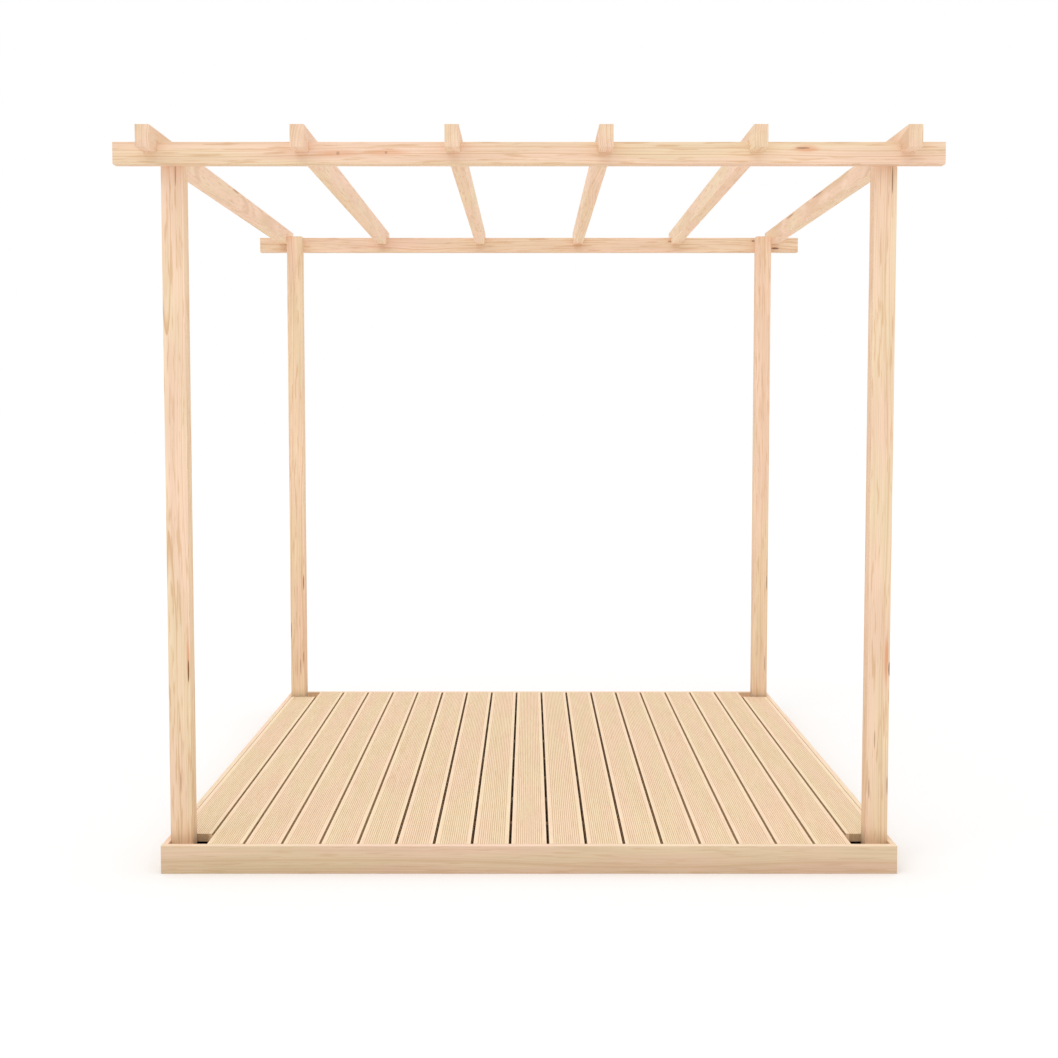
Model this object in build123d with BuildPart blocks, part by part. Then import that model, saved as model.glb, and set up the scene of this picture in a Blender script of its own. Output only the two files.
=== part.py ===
from build123d import *
import os

# A timber pergola standing on its own ribbed deck. Lengths are millimetres, Z is up,
# the front faces -Y, and the origin is the middle of the deck's underside.

# Deck frame
deck_width = 2400
deck_depth = 3000
fascia_thickness = 28
side_fascia_thickness = 18
joist_width = 45
joist_height = 65
joist_count = 9

# Deck boards, laid front to back on the joists
board_width = 120
board_thickness = 27
board_gap = 4.5
board_end_gap = 1
board_clear_of_post = 15
board_arris = 1.2
narrowest_rip = 20

# Flutes that make the boards' ribbed tops, wider at the mouth than at the floor
flute_pitch = 7
flute_mouth = 3.4
flute_depth = 1.6
flute_flank_angle = 65
smooth_margin = 17

# Posts
post_size = 72
post_length = 2358

# Roof
beam_thickness = 50
beam_height = 70
beam_overhang = 142
rafter_width = 45
rafter_height = 70
rafter_count = 6
rafter_overhang = 105
lap_depth = 32
lap_clearance = 0.3

# Edges: planed timbers are rounded along their length, sawn joists have a small chamfer
timber_arris = 1.5
joist_arris = 1.5
end_break = 0.8

# Inner faces of the deck frame. Front and rear are mirror images, so one depth serves both.
end_inside = deck_depth / 2 - fascia_thickness
side_inside = deck_width / 2 - side_fascia_thickness
deck_top = joist_height + board_thickness

# The posts stand in the frame's corners, against the side fascias and the end joists
post_x = side_inside - post_size / 2
post_inside = side_inside - post_size
post_y = end_inside - joist_width - post_size / 2

# The beams lie against the outer faces of the posts, their tops level with the posts' tops
beam_y = post_y + (post_size + beam_thickness) / 2
beam_bottom = post_length - beam_height

os.makedirs("parts", exist_ok=True)


def save(piece, label):
    piece.part.label = label
    export_step(piece.part, f"parts/{label}.step")


def timber_across(reach, y, bottom, thickness, height):
    """A timber that runs left to right, its long edges rounded and its ends lightly broken."""
    with BuildPart() as timber:
        with BuildSketch(Plane.YZ):
            with Locations((y, bottom + height / 2)):
                RectangleRounded(thickness, height, timber_arris)
        extrude(amount=reach, both=True)
        chamfer(timber.faces().filter_by(Axis.X).edges(), end_break)
    return timber


def timber_back(reach, x, bottom, thickness, height):
    """A timber that runs from front to back."""
    with BuildPart() as timber:
        with BuildSketch(Plane.XZ):
            with Locations((x, bottom + height / 2)):
                RectangleRounded(thickness, height, timber_arris)
        extrude(amount=reach, both=True)
        chamfer(timber.faces().filter_by(Axis.Y).edges(), end_break)
    return timber


# Deck frame: the front and rear fascias cover the ends of the side fascias
for label, side in (("front_fascia", -1), ("rear_fascia", 1)):
    y = side * (deck_depth - fascia_thickness) / 2
    save(timber_across(deck_width / 2, y, 0, fascia_thickness, deck_top), label)

for label, side in (("left_fascia", -1), ("right_fascia", 1)):
    x = side * (deck_width - side_fascia_thickness) / 2
    save(timber_back(end_inside, x, 0, side_fascia_thickness, deck_top), label)

# Joists in equal bays between the side fascias, the first and last against the end fascias
joist_spacing = (2 * end_inside - joist_width) / (joist_count - 1)

for number in range(joist_count):
    y = joist_width / 2 - end_inside + number * joist_spacing
    with BuildPart() as joist:
        with BuildSketch(Plane.YZ) as section:
            with Locations((y, joist_height / 2)):
                Rectangle(joist_width, joist_height)
            chamfer(section.vertices(), joist_arris)
        extrude(amount=side_inside, both=True)
    save(joist, f"joist_{number + 1}")


def deck_board(centre, reach):
    """A board with flutes between two smooth margins, ripped where it would pass the frame."""
    flute_count = int((board_width - 2 * smooth_margin) / flute_pitch) + 1
    with BuildPart() as board:
        with BuildSketch(Plane.XZ) as section:
            with Locations((centre, joist_height + board_thickness / 2)):
                Rectangle(board_width, board_thickness)
            chamfer(section.vertices(), board_arris)
            with Locations((centre, deck_top)):
                with GridLocations(flute_pitch, 0, flute_count, 1):
                    Trapezoid(
                        flute_mouth,
                        flute_depth,
                        flute_flank_angle,
                        rotation=180,
                        align=(Align.CENTER, Align.MIN),
                        mode=Mode.SUBTRACT,
                    )
            with Locations((0, deck_top)):
                Rectangle(2 * side_inside, 2 * deck_top, mode=Mode.INTERSECT)
        extrude(amount=reach, both=True)
    return board


# Boards run out from the middle one. Those that meet a pair of posts end between them.
board_pitch = board_width + board_gap
boards_each_side = int((side_inside + board_width / 2 - narrowest_rip) / board_pitch)
long_reach = end_inside - board_end_gap
short_reach = post_y - post_size / 2 - board_clear_of_post

for number in range(-boards_each_side, boards_each_side + 1):
    centre = number * board_pitch
    meets_posts = abs(centre) + board_width / 2 > post_inside
    reach = short_reach if meets_posts else long_reach
    save(deck_board(centre, reach), f"deck_board_{number + boards_each_side + 1:02d}")


# Posts stand on the ground and rise through the deck
for row, y in (("front", -post_y), ("rear", post_y)):
    for hand, x in (("left", -post_x), ("right", post_x)):
        with BuildPart() as post:
            with BuildSketch(Plane.XY):
                with Locations((x, y)):
                    RectangleRounded(post_size, post_size, timber_arris)
            extrude(amount=post_length)
            chamfer(post.faces().filter_by(Axis.Z).edges(), end_break)
        save(post, f"{row}_{hand}_post")

# Beams
beam_end = side_inside + beam_overhang
for label, y in (("front_beam", -beam_y), ("rear_beam", beam_y)):
    save(timber_across(beam_end, y, beam_bottom, beam_thickness, beam_height), label)


def lapped_rafter(x):
    """A rafter notched from below, so that it drops over both beams and seats on their tops."""
    reach = beam_y + beam_thickness / 2 + rafter_overhang
    bottom = post_length - lap_depth
    with BuildPart() as rafter:
        add(timber_back(reach, x, bottom, rafter_width, rafter_height))
        with BuildSketch(Plane.YZ.offset(x)):
            with Locations((-beam_y, bottom), (beam_y, bottom)):
                Rectangle(beam_thickness + 2 * lap_clearance, 2 * lap_depth)
        extrude(amount=rafter_width, both=True, mode=Mode.SUBTRACT)
    return rafter


# The outermost rafters lie against the outer faces of the posts, the rest in equal bays
outer_rafter_x = side_inside + rafter_width / 2
rafter_spacing = 2 * outer_rafter_x / (rafter_count - 1)

for number in range(rafter_count):
    save(lapped_rafter(number * rafter_spacing - outer_rafter_x), f"rafter_{number + 1}")
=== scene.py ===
# %% [markdown]
# # A timber pergola on a ribbed deck
#
# The packed model already holds every timber at its real size, so this lesson is about looks:
# planed pine with growth rings that run through each piece from face to end grain, deck boards
# with rounded ribs, and a soft white studio. Lengths are metres, Z is up and the front faces -Y.

# %% The frame
import math
import random
from collections import namedtuple

import bpy
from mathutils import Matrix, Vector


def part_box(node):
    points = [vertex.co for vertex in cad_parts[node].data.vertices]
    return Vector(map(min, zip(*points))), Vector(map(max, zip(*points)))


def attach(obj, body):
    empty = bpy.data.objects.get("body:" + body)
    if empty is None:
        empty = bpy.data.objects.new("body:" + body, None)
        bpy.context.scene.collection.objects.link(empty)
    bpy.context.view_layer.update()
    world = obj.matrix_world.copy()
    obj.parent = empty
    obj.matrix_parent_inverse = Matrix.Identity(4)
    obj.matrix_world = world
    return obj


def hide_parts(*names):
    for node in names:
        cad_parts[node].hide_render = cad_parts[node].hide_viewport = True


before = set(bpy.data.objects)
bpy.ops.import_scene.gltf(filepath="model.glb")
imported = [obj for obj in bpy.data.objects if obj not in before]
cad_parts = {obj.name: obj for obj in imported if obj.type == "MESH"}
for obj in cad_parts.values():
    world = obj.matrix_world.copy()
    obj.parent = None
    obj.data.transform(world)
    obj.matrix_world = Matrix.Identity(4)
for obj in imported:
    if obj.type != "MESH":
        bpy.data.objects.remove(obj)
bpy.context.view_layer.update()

# %% [markdown]
# ## Where each timber lies
#
# Grain follows a timber's length, so every material needs to know which way its timber runs and
# where its middle is. Both could be typed in, but reading them from the packed box keeps them
# true if a size changes.


# %% Lie of a timber
def lie(node):
    """A timber's middle, half its size each way, and the axis that it is longest along."""
    low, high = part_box(node)
    middle = (low + high) / 2
    reach = (high - low) / 2
    along = max(range(3), key=lambda axis: reach[axis])
    return middle, reach, along


for example in ("front_beam", "deck_board_10", "front_left_post"):
    print(example, "runs along", "XYZ"[lie(example)[2]])

# %% [markdown]
# ## The camera
#
# The view is level with a standing person's eyes, straight in front of the pergola and turned
# down a little. The eye's place was worked out from how the gaps between the boards draw
# together, so it is given from the deck's front face, in real lengths.

# %% Camera
EYE_BEFORE_FASCIA = 5.3139
EYE_HEIGHT = 1.5014
LOOK_DOWN = math.radians(4.029)
LENS = 56.41
SENSOR = 36

eye = bpy.data.cameras.new("eye")
eye.lens = LENS
eye.sensor_width = SENSOR
camera = bpy.data.objects.new("camera", eye)
bpy.context.scene.collection.objects.link(camera)
fascia_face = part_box("front_fascia")[0].y
camera.location = (0, fascia_face - EYE_BEFORE_FASCIA, EYE_HEIGHT)
camera.rotation_euler = (math.pi / 2 - LOOK_DOWN, 0, 0)
bpy.context.scene.camera = camera
print("camera at", list(camera.location))

# %% [markdown]
# ## Node maths as formulas
#
# A wood pattern is a formula with dozens of steps. Wired by hand it is a maze, so one small
# class wraps a socket: adding or multiplying two wires adds the Math node. Every other node
# comes from one method, which sets a node up before it fills its sockets.


# %% Wire
class Wire:
    """An output socket of a node tree, on which sums and products add Math nodes."""

    def __init__(self, tree, socket=None):
        self.tree = tree
        self.socket = socket

    def node(self, kind, settings=None, inputs=None, output=0):
        """Adds a node. Settings go first, because they decide which sockets it has."""
        made = self.tree.nodes.new(kind)
        for name, value in (settings or {}).items():
            setattr(made, name, value)
        for name, value in (inputs or {}).items():
            if isinstance(value, Wire):
                self.tree.links.new(value.socket, made.inputs[name])
            else:
                made.inputs[name].default_value = value
        return Wire(self.tree, made.outputs[output] if made.outputs else None)

    def also(self, output):
        """Another output of the same node."""
        return Wire(self.tree, self.socket.node.outputs[output])

    def maths(self, operation, *others):
        """The Math node of that name, on this wire and then the others."""
        values = dict(enumerate((self, *others)))
        return self.node("ShaderNodeMath", {"operation": operation}, values)

    def __add__(self, other):
        return self.maths("ADD", other)

    def __sub__(self, other):
        return self.maths("SUBTRACT", other)

    def __rsub__(self, other):
        return self.node("ShaderNodeMath", {"operation": "SUBTRACT"}, {0: other, 1: self})

    def __mul__(self, other):
        return self.maths("MULTIPLY", other)

    def __truediv__(self, other):
        return self.maths("DIVIDE", other)

    def __pow__(self, other):
        return self.maths("POWER", other)

    def __gt__(self, other):
        return self.maths("GREATER_THAN", other)

    def __lt__(self, other):
        return self.maths("LESS_THAN", other)

    def __abs__(self):
        return self.maths("ABSOLUTE")

    __radd__ = __add__
    __rmul__ = __mul__


print("a wire's reflected sums:", [name for name in vars(Wire) if name.startswith("__r")])


# %% Vectors and smooth steps
def split(vector):
    """The x, y and z of a vector wire."""
    first = vector.node("ShaderNodeSeparateXYZ", inputs={0: vector})
    return [first, first.also("Y"), first.also("Z")]


def wire_in(*values):
    """The first wire among several values."""
    return next(value for value in values if isinstance(value, Wire))


def joined(x, y, z):
    """A vector wire from three values, at least one of them a wire."""
    return wire_in(x, y, z).node("ShaderNodeCombineXYZ", inputs={0: x, 1: y, 2: z})


def ease(value, start, end):
    """0 before start, 1 after end, and a smooth rise between them. End may lie below start."""
    settings = {"interpolation_type": "SMOOTHSTEP"}
    inputs = {"Value": value, "From Min": start, "From Max": end}
    return value.node("ShaderNodeMapRange", settings, inputs)


print("helpers:", split.__name__, wire_in.__name__, joined.__name__, ease.__name__)

# %% [markdown]
# ## Colours of pine
#
# Paint charts give colours as they look on a screen, while shaders count light, so one helper
# turns the first into the second. The spring growth of this pine is pale straw, the summer
# growth a soft tan, and broad parts of a timber lean towards pink or towards yellow.


# %% Colours
def paint(red, green, blue):
    """A colour as a screen shows it, 0 to 255, as the light that a shader works in."""
    shares = [value / 255 for value in (red, green, blue)]
    light = [s / 12.92 if s <= 0.04045 else ((s + 0.055) / 1.055) ** 2.4 for s in shares]
    return (*light, 1)


SPRING_GROWTH = paint(246, 221, 197)
SUMMER_GROWTH = paint(220, 178, 136)
PINK_LEAN = paint(249, 209, 183)
YELLOW_LEAN = paint(243, 220, 178)
CUT_END = paint(227, 190, 156)
RESIN = paint(122, 80, 48)
SHAKE = paint(84, 70, 58)
FLUSH = paint(232, 164, 124)


def mixed(factor, first, second, how="MIX"):
    """First where the factor is 0 and second where it is 1, and never brighter than white."""
    settings = {"data_type": "RGBA", "blend_type": how, "clamp_result": True}
    inputs = {0: factor, 6: first, 7: second}
    return wire_in(factor, first, second).node("ShaderNodeMix", settings, inputs, 2)


print("spring growth as light:", [round(value, 3) for value in SPRING_GROWTH])

# %% [markdown]
# ## Growth rings
#
# A tree's rings are long, slightly wavering tubes about the pith, and a timber is a straight cut
# through them. A flat picture of grain would show the same face on every side and no rings on
# the ends. Here the distance from a pith that lies beside the timber and wavers along it gives
# the ring, so faces show lines or arched flames and end grain shows arcs that meet them. Good
# and poor years come in runs, so some bundles of rings stand out and others fade. The rafters
# come from the side of a large log, far from its pith, so the rings stand upright on their ends.


# %% Clouds that follow the grain
def noise(at, detail=2.0, roughness=0.5):
    """Cloudy values about 0.5 that change about once for each whole step of a vector wire."""
    inputs = {"Vector": at, "Scale": 1.0, "Detail": detail, "Roughness": roughness}
    return at.node("ShaderNodeTexNoise", {"noise_dimensions": "3D"}, inputs)


def drift(value):
    """Cloudy values about 0.5 that change with one value, about once for each whole step."""
    inputs = {"W": value, "Scale": 1.0, "Detail": 1.0}
    return value.node("ShaderNodeTexNoise", {"noise_dimensions": "1D"}, inputs)


def drawn_out(grain, per_metre, detail=2.0, roughness=0.5, shift=0.0):
    """Clouds that are drawn out along a timber. Grain is the way along it, across it and over
    it, and per_metre says how many clouds there are in a metre along it and to the side."""
    along, across, over = grain
    lengthwise, sideways = per_metre
    at = joined(along * lengthwise + shift, across * sideways, over * sideways)
    return noise(at, detail, roughness)


print("clouds follow the grain")

# %% Rings
RING_WIDTH = (0.0050, 0.0085)
PITH_NEAR = ((0.025, 0.080), (0, 2 * math.pi))
PITH_FAR = ((0.16, 0.28), (-0.25, 0.25))
WAVER = 0.022
WAVERS_PER_METRE = 0.8
ROUGH_EDGE = 0.0012
ROUGH_PER_METRE = (3, 45)
RUN_OF_YEARS = 0.013
RUN_EDGES = (0.38, 0.62)
UNEVEN_YEARS = 1.6
SUMMER_RISES = (0.20, 0.85)
WINTER_FALLS = (0.93, 1.0)
PALEST_YEAR = 0.30
POOREST_RUN = 0.35
PLACE_IN_NOISE = (0, 90)
FIRST_RING = (20, 60)


def waver(along, seed):
    """How far the pith strays to one side, as a value that changes slowly along the timber."""
    return (drift(along * WAVERS_PER_METRE + seed) - 0.5) * WAVER * 2


def at_least(least, share):
    """A share of 0 to 1, pressed into the room from the least value up to 1."""
    return least + (1 - least) * share


def growth(grain, chance, pith):
    """How much summer growth shows at a point, its bearing from the pith and its radius."""
    along, across, over = grain
    aside, bearing = (chance.uniform(*limits) for limits in pith)
    ring_width = chance.uniform(*RING_WIDTH)
    east = across - aside * math.cos(bearing) + waver(along, chance.uniform(*PLACE_IN_NOISE))
    north = over - aside * math.sin(bearing) + waver(along, chance.uniform(*PLACE_IN_NOISE))
    rough = (drawn_out(grain, ROUGH_PER_METRE, detail=3.0) - 0.5) * ROUGH_EDGE * 2
    radius = (east * east + north * north) ** 0.5 + rough
    years = drift(radius / RUN_OF_YEARS + chance.uniform(*PLACE_IN_NOISE))
    ring = radius / ring_width + years * UNEVEN_YEARS + chance.uniform(*FIRST_RING)
    share = ring.maths("FRACT")
    one_year = ring.node("ShaderNodeTexWhiteNoise", {"noise_dimensions": "1D"},
                         {"W": ring.maths("FLOOR")})
    summer = ease(share, *SUMMER_RISES) * (1 - ease(share, *WINTER_FALLS))
    summer = summer * at_least(PALEST_YEAR, one_year)
    summer = summer * at_least(POOREST_RUN, ease(years, *RUN_EDGES))
    return summer, north.maths("ARCTAN2", east), radius


print("rings are", RING_WIDTH[0] * 1000, "to", RING_WIDTH[1] * 1000, "mm wide")

# %% [markdown]
# ## Marks that the pine carries
#
# Some timbers have a dark crack, a resin streak, a small knot or a fleck in a known place, and
# the rear beam has short dark marks of painted shade where rafters and posts meet it. Each could
# be a thin piece laid on the wood, but it is a stain in it, so it is a long egg of colour in
# space that the surface cuts through: a dark core, brown where it is resin and grey where the
# wood has opened, and round it a wider, fainter blush. A mark gives its core's strength and the
# blush's, and where each has its middle and how far it reaches from there along X, Y and Z.

# %% Kinds of mark
CORE_DEPTH = 0.004
BLUSH_DEPTH = 0.008
SHAKE_REACH = 0.0020
SHAKE_BLUSH_REACH = 0.0055
SHAKE_BLUSH_LENGTHS = 1.4
SHAKE_BLUSH = 0.25
CHECK_REACH = 0.0045
CHECK_BLUSH = 0.35
JUNCTION_BLUSH_REACH = 0.010
JUNCTION_BLUSH_LENGTHS = 2
FLECK_BLUSH_REACH = 0.012
FLECK_BLUSH_LENGTHS = 1.6
KNOT_STRENGTH = 0.35
KNOT_BLUSH = 0.40
KNOT_BLUSH_REACH = (0.10, 0.010, 0.016)

Mark = namedtuple("Mark", "stain strength middle core blush blush_middle blush_reach")


def shake(x, y, z, half_length, strength):
    """A fine upright crack on a post's face."""
    core = (SHAKE_REACH, CORE_DEPTH, half_length)
    about = (SHAKE_BLUSH_REACH, BLUSH_DEPTH, half_length * SHAKE_BLUSH_LENGTHS)
    return Mark(SHAKE, strength, (x, y, z), core, SHAKE_BLUSH, (x, y, z), about)


def junction_shade(x, y, z, half_length, strength):
    """A short dark mark of painted shade along a beam, where a rafter or a post meets it."""
    core = (half_length, CORE_DEPTH, CHECK_REACH)
    about = (half_length * JUNCTION_BLUSH_LENGTHS, BLUSH_DEPTH, JUNCTION_BLUSH_REACH)
    return Mark(SHAKE, strength, (x, y, z), core, CHECK_BLUSH, (x, y, z), about)


def fleck(x, y, z, half_length, strength):
    """A thin dark fleck along a rafter's side, just under its upper arris."""
    core = (CORE_DEPTH, half_length, CHECK_REACH)
    about = (BLUSH_DEPTH, half_length * FLECK_BLUSH_LENGTHS, FLECK_BLUSH_REACH)
    return Mark(SHAKE, strength, (x, y, z), core, CHECK_BLUSH, (x, y, z), about)


def knot(x, y, z, reach):
    """A small, pale knot with a little colour drawn out along the grain on both sides."""
    core = (reach, reach * 2, reach)
    return Mark(RESIN, KNOT_STRENGTH, (x, y, z), core, KNOT_BLUSH, (x, y, z), KNOT_BLUSH_REACH)


print("a mark has", Mark._fields)

# %% Stains
BLUSH_SKIN = 0.7
CORE_SKIN = 0.35
CHECK_DEPTH = 0.0006


def egg(place, middle, reach, skin):
    """1 in the heart of an egg-shaped region and 0 outside it, with a smooth fall through its
    skin, which is given as a share of the egg's reach."""
    offset = place.node("ShaderNodeVectorMath", {"operation": "SUBTRACT"}, {0: place, 1: middle})
    share = place.node("ShaderNodeVectorMath", {"operation": "DIVIDE"}, {0: offset, 1: reach})
    length = place.node("ShaderNodeVectorMath", {"operation": "LENGTH"}, {0: share}, "Value")
    return ease(1 - length.maths("MINIMUM", 1.0), 0.0, skin)


def stained(colour, height, coordinates, marks):
    """The colour and the height of wood once its marks are in it."""
    for mark in marks:
        blush = egg(coordinates, mark.blush_middle, mark.blush_reach, BLUSH_SKIN)
        core = egg(coordinates, mark.middle, mark.core, CORE_SKIN)
        colour = mixed(blush * mark.blush, colour, FLUSH)
        colour = mixed(core * mark.strength, colour, mark.stain)
        height = height - core * CHECK_DEPTH
    return colour, height


print("a mark's core opens the wood by", CHECK_DEPTH * 1000, "mm")

# %% Where the marks are
post_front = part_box("front_left_post")[0].y
post_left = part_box("front_left_post")[0].x
post_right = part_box("front_right_post")[1].x
rear_post_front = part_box("rear_right_post")[0].y
beam_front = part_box("front_beam")[0].y
beam_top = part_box("front_beam")[1].z
rear_beam_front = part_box("rear_beam")[0].y
rafter_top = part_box("rafter_1")[1].z
outer_rafter_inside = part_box("rafter_6")[0].x
MARKS = {
    "front_left_post": [
        Mark(RESIN, 0.9, (post_left + 0.066, post_front, 0.655), (0.0026, 0.005, 0.044),
             0.85, (post_left + 0.0655, post_front, 0.690), (0.006, 0.010, 0.105)),
        shake(post_left + 0.036, post_front, 0.285, 0.040, 0.35),
        shake(post_left + 0.047, post_front, 2.262, 0.045, 0.50),
    ],
    "front_right_post": [
        Mark(RESIN, 0.85, (post_right - 0.001, post_front + 0.002, 0.662), (0.0042, 0.007, 0.030),
             0.75, (post_right - 0.012, post_front, 0.692), (0.0085, 0.012, 0.110)),
        shake(post_right - 0.015, post_front, 2.245, 0.052, 0.65),
        shake(post_right - 0.046, post_front, 0.428, 0.036, 0.35),
        shake(post_right - 0.063, post_front, 0.265, 0.040, 0.40),
        shake(post_right - 0.003, post_front, 0.275, 0.036, 0.40),
    ],
    "rear_left_post": [
        shake(post_left + 0.066, rear_post_front, 0.661, 0.045, 0.85),
        shake(post_left + 0.063, rear_post_front, 0.288, 0.036, 0.55),
        shake(post_left + 0.048, rear_post_front, 0.240, 0.050, 0.50),
        shake(post_left + 0.004, rear_post_front, 0.420, 0.050, 0.50),
    ],
    "rear_right_post": [
        shake(post_right - 0.006, rear_post_front, 0.660, 0.045, 0.60),
        shake(post_right - 0.012, rear_post_front, 0.256, 0.045, 0.40),
    ],
    "front_beam": [
        Mark(SHAKE, 0.80, (0.870, beam_front, beam_top - 0.0195), (0.028, 0.004, 0.0019),
             0.55, (0.880, beam_front, beam_top - 0.021), (0.055, 0.010, 0.017)),
        knot(-0.607, beam_front, beam_top - 0.036, 0.0065),
        knot(-0.454, beam_front, beam_top - 0.034, 0.0050),
    ],
    "rear_beam": [
        # Painted shade: dark marks where rafters and posts meet the rear beam.
        junction_shade(1.211, rear_beam_front, beam_top - 0.052, 0.022, 0.75),
        junction_shade(1.104, rear_beam_front, beam_top - 0.016, 0.010, 0.60),
        junction_shade(0.694, rear_beam_front, beam_top - 0.018, 0.012, 0.45),
        junction_shade(-1.201, rear_beam_front, beam_top - 0.028, 0.014, 0.50),
    ],
    "rafter_1": [fleck(-outer_rafter_inside, -0.047, rafter_top - 0.006, 0.080, 0.34)],
    "rafter_6": [
        fleck(outer_rafter_inside, 0.060, rafter_top - 0.006, 0.130, 0.38),
        fleck(outer_rafter_inside, 0.776, rafter_top - 0.010, 0.110, 0.42),
    ],
}
print("marked timbers:", sorted(MARKS))

# %% [markdown]
# ## Pine
#
# One function gives each timber its own material, with its own seed, so that no two show the same
# figure. It could be one long formula, but each of its parts answers one question: where the
# point is, what colour clean wood has there, and how light or dark it is. Rings, broken streaks
# and fine fibres colour the wood, sawn ends drink more light, and the arrises are a touch paler,
# partly from the burnish of handling and partly as a painted highlight along the edge.

# %% A point on a timber
SAWN = (0.6, 0.9)
ARRIS_REACH = 0.004


class Spot:
    """Where a point of a timber is, as wires for its patterns to read."""

    def __init__(self, tree, node):
        middle, reach, lengthwise = lie(node)
        sides = [axis for axis in range(3) if axis != lengthwise]
        self.coordinates = Wire(tree).node("ShaderNodeTexCoord", output="Object")
        self.x, self.y, self.z = split(self.coordinates)
        self.facing = split(self.coordinates.also("Normal"))
        centred = [value - middle[axis] for axis, value in enumerate((self.x, self.y, self.z))]
        self.grain = [centred[axis] for axis in (lengthwise, *sides)]
        self.inset = [reach[axis] - abs(centred[axis]) for axis in sides]
        self.sawn = ease(abs(self.facing[lengthwise]), *SAWN)
        self.worn = ease(self.inset[0] + self.inset[1], ARRIS_REACH, 0.0)


print("arrises are worn within", ARRIS_REACH * 1000, "mm")

# %% Colour of clean wood
STREAKS_PER_METRE = (8, 130)
STREAK_EDGES = (0.53, 0.68)
STREAK_SHARE = 0.80
LEANS_PER_METRE = (1.6, 16)
LEAN_EDGES = (0.35, 0.65)
MOST_LEAN = 0.5
SUMMER_SHARE = 0.85
CUT_SPRING = 0.20
CUT_SUMMER = 0.90


def figured(spot, summer, figure, shift):
    """Spring growth that leans pink or yellow, with summer growth and broken streaks in it, and
    sawn ends that show all their rings."""
    cloud = drawn_out(spot.grain, LEANS_PER_METRE, detail=1.0, shift=shift)
    lean = mixed(ease(cloud, *LEAN_EDGES), YELLOW_LEAN, PINK_LEAN)
    spring = mixed(min(MOST_LEAN, figure), SPRING_GROWTH, lean)
    broken = drawn_out(spot.grain, STREAKS_PER_METRE, shift=shift)
    streak = ease(broken, *STREAK_EDGES) * (1 - spot.sawn) * STREAK_SHARE
    dark = summer.maths("MAXIMUM", streak) * at_least(figure, spot.sawn)
    face = mixed(dark * SUMMER_SHARE, spring, SUMMER_GROWTH)
    drunk = CUT_SPRING + (CUT_SUMMER - CUT_SPRING) * summer
    return mixed(spot.sawn * drunk, face, CUT_END)


print("streaks per metre along and across:", STREAKS_PER_METRE)

# %% Shade of clean wood
PATCHES_PER_METRE = (3, 30)
PATCH_SHADE = 0.22
FIBRE_SHADE = 0.18
RAYS_ROUND = 60
RAYS_PER_METRE = 40
RAY_WIDTH = 0.03
RAY_SHADE = 0.06
BURNISH_AND_HIGHLIGHT = 0.03


def shaded(spot, fibre, bearing, radius, figure, shift):
    """How light or dark clean wood is, about 1, with fine rays from the pith on a sawn end."""
    patch = drawn_out(spot.grain, PATCHES_PER_METRE, detail=1.0, shift=shift)
    shade = 1 + (patch - 0.5) * PATCH_SHADE * figure + (fibre - 0.5) * FIBRE_SHADE
    spokes = noise(joined(bearing * RAYS_ROUND, radius * RAYS_PER_METRE, 0.0), detail=1.0)
    ray = ease(abs(spokes - 0.5), RAY_WIDTH, 0.0)
    # Arrises are paler partly from burnish and partly as a painted highlight.
    return shade * (1 - RAY_SHADE * ray * spot.sawn) * (1 + BURNISH_AND_HIGHLIGHT * spot.worn)


print("patches change a timber's shade by up to", PATCH_SHADE / 2)

# %% [markdown]
# ## Marks of plane and saw
#
# A planer's turning knives leave low ripples across the faces, and a saw leaves fine lines side
# by side on the ends. Both are far too small for the mesh, so they are waves in the height that
# the bump reads, and each shows only on its own kind of surface.

# %% Tool marks
PLANER_PITCH = 0.0028
PLANER_HEIGHT = 0.000012
SAW_PITCH = 0.0016
SAW_HEIGHT = 0.00006


def ripples(value, pitch):
    """A wave of -1 to 1 with that pitch."""
    return (value * (2 * math.pi / pitch)).maths("SINE")


def tooled(height, spot):
    """The height of wood once it has been planed and cut to length."""
    along, across, _ = spot.grain
    height = height + ripples(along, PLANER_PITCH) * PLANER_HEIGHT * (1 - spot.sawn)
    return height + ripples(across, SAW_PITCH) * SAW_HEIGHT * spot.sawn


print("planer ripples every", PLANER_PITCH * 1000, "mm")

# %% [markdown]
# ## The material
#
# Bare wood is dull, so roughness stays high and only the hard summer growth and the worn arrises
# shine a little. Rings stand up by a tenth of a millimetre and fibres by less, so bump is enough
# for them. The painted light and shade on one kind of timber, such as the painted shade in the
# gaps between boards, is another function's shade, and as darker wood is browner, shade takes a
# little more from the green and the most from the blue.

# %% Pine material
FIBRES_PER_METRE = (9, 700)
FIBRE_HEIGHT = 0.00008
RING_HEIGHT = 0.00010
BROWNER = (1.0, 1.15, 1.45)
ROUGHNESS = 0.68
SUMMER_SHINE = 0.10
SAWN_DULLNESS = 0.12
WORN_SHINE = 0.08
PINE_GLOSS = 0.15
PLACE_ALONG_LOG = (0, 50)


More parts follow.
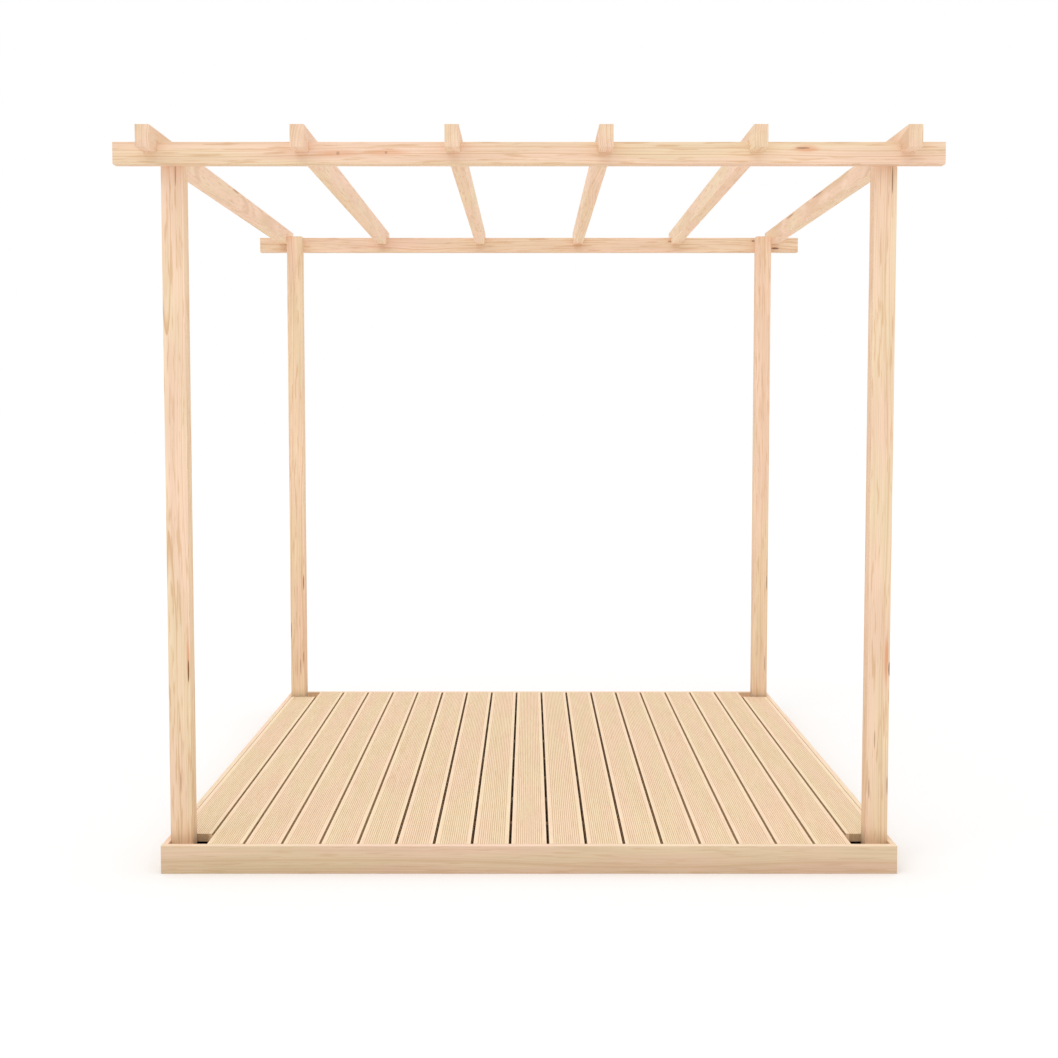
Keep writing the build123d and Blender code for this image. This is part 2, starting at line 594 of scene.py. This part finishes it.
def pine(node, seed, tone=(1, 1, 1), figure=1.0, painted_light=None, pith=PITH_NEAR, gloss=PINE_GLOSS):
    """A material for one timber. Tone multiplies its colour, figure says how strongly its grain
    shows, the function for painted light and shade, where given, scales a spot's shade, pith
    gives the limits of the pith's distance and bearing, and gloss says how much light the skin
    returns."""
    chance = random.Random(seed)
    material = bpy.data.materials.new("pine_" + node)
    material.use_nodes = True
    material.node_tree.nodes.clear()
    spot = Spot(material.node_tree, node)
    summer, bearing, radius = growth(spot.grain, chance, pith)
    shift = chance.uniform(*PLACE_ALONG_LOG)
    fibre = drawn_out(spot.grain, FIBRES_PER_METRE, roughness=0.6, shift=shift)

    colour = figured(spot, summer, figure, shift)
    height = summer * RING_HEIGHT - fibre * FIBRE_HEIGHT * (1 + spot.sawn)
    colour, height = stained(colour, height, spot.coordinates, MARKS.get(node, []))
    shade = shaded(spot, fibre, bearing, radius, figure, shift)
    # Painted light and shade for this kind of timber multiply the wood's shade.
    if painted_light:
        shade = shade * painted_light(spot)
    toned = joined(*(shade ** dirt * share for dirt, share in zip(BROWNER, tone)))

    height = tooled(height, spot)
    shine = SUMMER_SHINE * summer + WORN_SHINE * spot.worn
    wood = colour.node("ShaderNodeBsdfPrincipled", inputs={
        "Base Color": mixed(1.0, colour, toned, "MULTIPLY"),
        "Roughness": ROUGHNESS + SAWN_DULLNESS * spot.sawn - shine,
        "Specular IOR Level": gloss,
        "Normal": height.node("ShaderNodeBump", inputs={"Distance": 1.0, "Height": height}),
    })
    wood.node("ShaderNodeOutputMaterial", inputs={"Surface": wood})
    return material


print("relief of rings and fibres in mm:", RING_HEIGHT * 1000, FIBRE_HEIGHT * 1000)

# %% [markdown]
# ## Painted light and shade
#
# The posts darken a little towards the foot, and where they pass into the deck they carry painted
# shade and a little grime. The fascias' upright faces carry painted shade, darkest at the foot,
# and their top is painted lighter, as if lit from above. A joist's top is painted light and its
# sides carry painted shade, so the top shows pale through the gaps. Painted masks would do this
# too, but a formula on height and facing needs no texture and keeps its place on any timber.

# %% Painted light and shade on posts, fascias and joists
POST_DARKENING_SPAN = (1.1, 0.2)
POST_DARKENING = 0.08
# Painted shade, with a little grime, where the posts pass into the deck.
POST_DECK_SHADE_SPAN = (0.050, -0.010)
POST_DECK_SHADE_AND_GRIME = 0.14
# The fascias' top is painted lighter and their upright faces carry painted shade, most at the
# foot.
FASCIA_UPRIGHT = (0.8, 0.3)
FASCIA_TOP_PAINTED_LIGHT = 1.06
FASCIA_PAINTED_SHADE = 0.23
FASCIA_FOOT_SPAN = (0.8, 0.0)
FASCIA_FOOT_PAINTED_SHADE = 0.11
# A joist's top is painted light and its sides carry painted shade.
JOIST_UPWARD = (0.5, 0.9)
JOIST_SIDE_PAINTED_SHADE = 0.80
JOIST_TOP_PAINTED_LIGHT = 1.25
deck_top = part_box("front_fascia")[1].z


def foot_of_post(spot):
    """Posts darken a little downwards, and more where they pass into the deck, with painted shade
    and a little grime there.
    """
    darkening = ease(spot.z, *POST_DARKENING_SPAN)
    deck_shade = ease(spot.z - deck_top, *POST_DECK_SHADE_SPAN)
    return 1 - POST_DARKENING * darkening - POST_DECK_SHADE_AND_GRIME * deck_shade


def face_of_fascia(spot):
    """Painted light and shade: a fascia's upright faces are painted darker than its top, which is
    painted lighter as if lit from above, and darkest at the foot, where the ground shades them.
    """
    upright = ease(spot.facing[2], *FASCIA_UPRIGHT)
    darkening = ease(spot.z / deck_top, *FASCIA_FOOT_SPAN)
    return FASCIA_TOP_PAINTED_LIGHT - upright * (FASCIA_PAINTED_SHADE + FASCIA_FOOT_PAINTED_SHADE * darkening)


def top_of_joist(spot):
    """A joist's top is painted light and its sides carry painted shade, so the top shows pale
    through the gaps.
    """
    upward = ease(spot.facing[2], *JOIST_UPWARD)
    return JOIST_SIDE_PAINTED_SHADE + (JOIST_TOP_PAINTED_LIGHT - JOIST_SIDE_PAINTED_SHADE) * upward


print("damp reaches", POST_DARKENING_SPAN[0], "m up the posts")

# %% [markdown]
# ## A finish for each kind of timber
#
# The timbers come from several batches of wood, so each kind has a tone of its own, and the
# fascias' and rafters' grain shows less than the posts'. One material for all would be quicker,
# but its rings would run on from timber to timber as if they were cut from one block, so each
# timber gets its own seed and its kind's finish.

# %% Finishes of the timbers
FIRST_SEED = 100
FRONT_POST = {"tone": (0.995, 0.99, 0.965), "painted_light": foot_of_post}
FINISHES = {
    "front_left_post": FRONT_POST,
    "front_right_post": FRONT_POST,
    "rear_left_post": {"tone": (0.995, 0.99, 0.98), "figure": 0.95, "painted_light": foot_of_post},
    "rear_right_post": {"figure": 0.95, "painted_light": foot_of_post},
    "front_beam": {"tone": (0.98, 0.97, 0.96)},
    "rear_beam": {"tone": (0.95, 0.925, 0.95)},
    "rafter": {"tone": (1.03, 1.03, 1.035), "figure": 0.80, "pith": PITH_FAR},
    "fascia": {"tone": (0.97, 0.975, 0.985), "figure": 0.55, "painted_light": face_of_fascia},
    "joist": {"tone": (0.94, 0.92, 0.90), "figure": 0.8, "painted_light": top_of_joist},
}


def finish_with(node, material):
    """The packed timber keeps its shape and takes the material in its slot."""
    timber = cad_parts[node]
    timber.data.materials.clear()
    timber.data.materials.append(material)


finished = 0
for number, node in enumerate(sorted(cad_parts)):
    for kind, finish in FINISHES.items():
        if kind in node:
            finish_with(node, pine(node, FIRST_SEED + number, **finish))
            finished += 1
print("pine on", finished, "packed timbers")

# %% [markdown]
# ## Ribbed boards
#
# A decking board's top is run through a cutter that leaves rounded ribs between two smooth
# margins. The packed boards have plain flutes and arrises. Bump alone would look flat where the
# ends show, so the section is drawn as a curve, its top is divided finely and pushed down by a
# rounded wave, and it is swept along the board. A Geometry Nodes tree does this once for all
# the boards, with their sizes as named inputs.

# %% Sizes of a ribbed board
BOARD_ARRIS = 0.0028
FLUTE_PITCH = 0.007
FLUTE_MOUTH = 0.0042
FLUTE_DEPTH = 0.0017
FLUTE_FULLNESS = 0.8
FLUTES = 13
TOP_DIVISIONS = 230
ARC_STEPS = 4
ON_TOP = 0.00001

tree = bpy.data.node_groups.new("ribbed_board", "GeometryNodeTree")
tree.interface.new_socket("Board", in_out="OUTPUT", socket_type="NodeSocketGeometry")
for name in ("Width", "Thickness", "Arris", "Flute Pitch", "Flute Mouth", "Flute Depth"):
    tree.interface.new_socket(name, in_out="INPUT", socket_type="NodeSocketFloat")
for name in ("Flutes", "Top Divisions"):
    tree.interface.new_socket(name, in_out="INPUT", socket_type="NodeSocketInt")
for name in ("Front", "Back"):
    tree.interface.new_socket(name, in_out="INPUT", socket_type="NodeSocketVector")
tree.interface.new_socket("Finish", in_out="INPUT", socket_type="NodeSocketMaterial")
given = Wire(tree).node("NodeGroupInput")
print("the tree takes", [item.name for item in tree.interface.items_tree][1:])

# %% [markdown]
# ## Section and flutes
#
# A point's cuts divide the run of curve that follows it. The run along the top starts at its
# right-hand point, so only that point gets them. The top then goes down by a raised cosine about
# the middle of the nearest flute: all the way in the middle, and nothing from the mouth's edges
# outwards. A power a little below 1 makes the flute fuller, as a cutter's round nose does.

# %% Section of a ribbed board
outline = given.node("GeometryNodeCurvePrimitiveQuadrilateral", inputs={
    "Width": given.also("Width"), "Height": given.also("Thickness")})
outline = outline.node("GeometryNodeFilletCurve", {"mode": "POLY"}, {
    "Curve": outline, "Count": ARC_STEPS, "Radius": given.also("Arris")})
x, y, _ = split(given.node("GeometryNodeInputPosition"))
on_top = y > given.also("Thickness") / 2 - ON_TOP
outline = outline.node("GeometryNodeSubdivideCurve", inputs={
    "Curve": outline, "Cuts": on_top * (x > 0) * given.also("Top Divisions")})
print("the top is cut in", TOP_DIVISIONS + 1)

# %% Flutes
pitch = given.also("Flute Pitch")
outermost = (given.also("Flutes") - 1) / 2
nearest = (x / pitch).maths("ROUND").maths("MAXIMUM", outermost * -1)
nearest = nearest.maths("MINIMUM", outermost)
aside = abs(x - nearest * pitch) / (given.also("Flute Mouth") / 2)
wave = 0.5 + 0.5 * (aside.maths("MINIMUM", 1.0) * math.pi).maths("COSINE")
drop = wave ** FLUTE_FULLNESS * given.also("Flute Depth")
outline = outline.node("GeometryNodeSetPosition", inputs={
    "Geometry": outline, "Offset": joined(0.0, drop * on_top * -1, 0.0)})
print(FLUTES, "flutes,", FLUTE_DEPTH * 1000, "mm deep")

# %% Sweep
path = given.node("GeometryNodeCurvePrimitiveLine", inputs={
    "Start": given.also("Back"), "End": given.also("Front")})
path = path.node("GeometryNodeSetCurveTilt", inputs={"Curve": path, "Tilt": math.pi})
board = path.node("GeometryNodeCurveToMesh", inputs={
    "Curve": path, "Profile Curve": outline, "Fill Caps": True})
board = board.node("GeometryNodeRealizeInstances", inputs={0: board})
board = board.node("GeometryNodeSetMaterial", inputs={
    "Geometry": board, "Material": given.also("Finish")})
board.node("NodeGroupOutput", inputs={0: board})
print(len(tree.nodes), "nodes in the board's tree")


# %% A plain mesh from a tree
def grown(name, tree, values):
    """A plain mesh from the tree. Each input is set by its socket's identifier, before Blender
    first works the shape out, and the modifier is gone when the mesh is handed over."""
    shape = bpy.data.objects.new(name, bpy.data.meshes.new(name))
    bpy.context.scene.collection.objects.link(shape)
    maker = shape.modifiers.new("maker", "NODES")
    maker.node_group = tree
    for item in tree.interface.items_tree:
        if item.in_out == "INPUT":
            maker[item.identifier] = values[item.name]
    evaluated = shape.evaluated_get(bpy.context.evaluated_depsgraph_get())
    mesh = bpy.data.meshes.new_from_object(evaluated)
    shape.modifiers.clear()
    shape.data = mesh
    mesh.name = name
    return shape


sockets = [item.identifier for item in tree.interface.items_tree if item.in_out == "INPUT"]
print("a board is set by", sockets)

# %% [markdown]
# ## Painted shade on the boards
#
# A dark line of painted shade runs along each arris where two boards nearly meet, darkest in the
# middle of the deck, and the flutes and the boards' sides carry painted shade too. The smooth
# strip beside each gap is painted paler. How far a point lies below the deck's top tells crown
# from flute, and the inset from the board's side tells where it is. The boards have next to no
# gloss, because the sky's shine would turn the dark lines grey.

# %% Painted shade on the boards
MIDDLE_OF_DECK = (0.62, 0.34)
MIDDLE_ARRIS_PAINTED_SHADE = 0.96
OUTER_ARRIS_PAINTED_SHADE = 0.64
CLEAR_OF_FASCIA = (0.008, 0.012)
UPPER_SIDE = (0.007, 0.003)
ARRIS_PAINTED_SHADE_REACH = (0.0030, 0.0018)
SIDE_SKIN = (0.0008, 0.0002)
SIDE_PAINTED_SHADE = 0.10
FLUTE_LIP = 0.0003
RIBBED_FROM = (0.012, 0.016)
FLUTE_PAINTED_SHADE = 0.28
PALE_STRIP_REACH = (0.010, 0.004)
PALE_STRIP = 0.07
side_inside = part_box("right_fascia")[0].x


def board_painted_light(spot):
    """Painted shade in the flutes, on the arrises and down the sides, and a paler strip by each
    gap.
    """
    from_middle = abs(spot.x)
    below = deck_top - spot.z
    from_side = spot.inset[0]
    upper = ease(below, *UPPER_SIDE)
    beside_gap = ease(side_inside - from_middle, *CLEAR_OF_FASCIA)
    on_arris = ease(from_side, *ARRIS_PAINTED_SHADE_REACH) * upper * beside_gap
    down_side = ease(from_side, *SIDE_SKIN) * (1 - upper)
    in_flute = ease(below, FLUTE_LIP, FLUTE_DEPTH) * ease(from_side, *RIBBED_FROM)
    pale_strip = ease(from_side, *PALE_STRIP_REACH)
    # Painted shade: the arris line, the sides and the flutes stand for the shade in the gaps and
    # hollows.
    arris_shade = OUTER_ARRIS_PAINTED_SHADE + (MIDDLE_ARRIS_PAINTED_SHADE - OUTER_ARRIS_PAINTED_SHADE) * ease(from_middle, *MIDDLE_OF_DECK)
    edge = (1 - on_arris * arris_shade) * (1 - SIDE_PAINTED_SHADE * down_side)
    return edge * (1 - FLUTE_PAINTED_SHADE * in_flute) * (1 + PALE_STRIP * pale_strip)


# The dark lines along the arrises are painted shade.
print("dirty lines reach", ARRIS_PAINTED_SHADE_REACH[0] * 1000, "mm in from each gap")

# %% Boards
FIRST_BOARD_SEED = 300
DECK_TONE = (1.03, 1.055, 1.005)
DECK_FIGURE = 0.30
DECK_GLOSS = 0.03


def ribbed_board(node, seed):
    """A board that stands for a packed one, in the same box."""
    low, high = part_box(node)
    centre = (low.x + high.x) / 2
    level = (low.z + high.z) / 2
    board = grown("ribbed" + node.removeprefix("deck"), tree, {
        "Width": high.x - low.x, "Thickness": high.z - low.z, "Arris": BOARD_ARRIS,
        "Flute Pitch": FLUTE_PITCH, "Flute Mouth": FLUTE_MOUTH, "Flute Depth": FLUTE_DEPTH,
        "Flutes": FLUTES, "Top Divisions": TOP_DIVISIONS,
        "Front": (centre, low.y, level), "Back": (centre, high.y, level),
        "Finish": pine(node, seed, DECK_TONE, DECK_FIGURE, board_painted_light, gloss=DECK_GLOSS),
    })
    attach(board, "root")
    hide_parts(node)
    return board


packed_boards = [node for node in sorted(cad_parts) if "deck_board" in node]
boards = [ribbed_board(node, seed) for seed, node in enumerate(packed_boards, FIRST_BOARD_SEED)]
faces = sum(len(face.vertices) - 2 for board in boards for face in board.data.polygons)
print(len(boards), "ribbed boards,", faces, "triangles")

# %% [markdown]
# ## The studio
#
# The pergola is shown on plain white. If lamps alone made the floor that white they would burn
# the wood out, so they light a colour about as it is written, and the white comes from the
# floor's and the world's own colour where the camera looks at them. Most of the light is the
# sky's and the pale floor sends it back up, which leaves undersides bright, and one broad lamp
# from the front and above gives the faces their difference. The floor is a real surface that
# takes light, so it still carries the soft shadow. Under the deck the floor is painted near
# black, a painted shade, so that the gaps between the boards are as deep as they look.

# %% World
DAYLIGHT = 0.90
WHITE = (1, 1, 1, 1)


def looked_at_by(ray):
    """1 where a ray is the camera's, or shows in a gloss or through glass."""
    seen = ray.maths("MAXIMUM", ray.also("Is Glossy Ray"))
    return seen.maths("MAXIMUM", ray.also("Is Transmission Ray"))


world = bpy.data.worlds.new("studio")
bpy.context.scene.world = world
world.use_nodes = True
world.node_tree.nodes.clear()
ray = Wire(world.node_tree).node("ShaderNodeLightPath", output="Is Camera Ray")
soft = ray.node("ShaderNodeBackground", inputs={"Color": WHITE, "Strength": DAYLIGHT})
white = ray.node("ShaderNodeBackground", inputs={"Color": WHITE, "Strength": 1.0})
sky = ray.node("ShaderNodeMixShader", inputs={0: looked_at_by(ray), 1: soft, 2: white})
ray.node("ShaderNodeOutputWorld", inputs={"Surface": sky})
print("daylight", DAYLIGHT)

# %% Lamp
KEY_STRENGTH = 0.55
KEY_SPREAD = math.radians(50)
KEY_TURN = (math.radians(38), 0, math.radians(-18))

key = bpy.data.lights.new("key", "SUN")
key.energy = KEY_STRENGTH
key.angle = KEY_SPREAD
lamp = bpy.data.objects.new("key", key)
lamp.rotation_euler = KEY_TURN
bpy.context.scene.collection.objects.link(lamp)
print("one lamp of strength", KEY_STRENGTH)

# %% Floor
FLOOR_REACH = 40.0
FLOOR_BOUNCE = (0.90, 0.90, 0.90, 1)
UNDER_DECK_PAINTED_SHADE = (0.02, 0.015, 0.01, 1)

corners = [(-FLOOR_REACH, -FLOOR_REACH, 0), (FLOOR_REACH, -FLOOR_REACH, 0),
           (FLOOR_REACH, FLOOR_REACH, 0), (-FLOOR_REACH, FLOOR_REACH, 0)]
sheet = bpy.data.meshes.new("floor")
sheet.from_pydata(corners, [], [(0, 1, 2, 3)])
floor = bpy.data.objects.new("floor", sheet)
bpy.context.scene.collection.objects.link(floor)
print("the floor reaches", FLOOR_REACH, "m each way")

# %% Floor's paper
paper = bpy.data.materials.new("studio_paper")
paper.use_nodes = True
paper.node_tree.nodes.clear()
ray = Wire(paper.node_tree).node("ShaderNodeLightPath", output="Is Camera Ray")
bounce = ray.node("ShaderNodeBsdfDiffuse", inputs={"Color": FLOOR_BOUNCE})
seen = ray.node("ShaderNodeBsdfDiffuse", inputs={"Color": WHITE})
open_floor = ray.node("ShaderNodeMixShader", inputs={0: looked_at_by(ray), 1: bounce, 2: seen})
x, y, _ = split(ray.node("ShaderNodeTexCoord", output="Object"))
inside = (abs(x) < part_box("right_fascia")[0].x) * (abs(y) < -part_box("front_fascia")[1].y)
# Painted shade: the floor under the deck is near black.
dark = ray.node("ShaderNodeBsdfDiffuse", inputs={"Color": UNDER_DECK_PAINTED_SHADE})
surface = ray.node("ShaderNodeMixShader", inputs={0: inside, 1: open_floor, 2: dark})
ray.node("ShaderNodeOutputMaterial", inputs={"Surface": surface})
floor.data.materials.append(paper)
print("the floor sends back", FLOOR_BOUNCE[0], "of the light")

# %% [markdown]
# ## Colours on the screen
#
# Colours go to the screen as they are, with no film curve over them. The looks must not change
# the pergola's size.

# %% Colours on the screen
bpy.context.scene.view_settings.view_transform = "Standard"
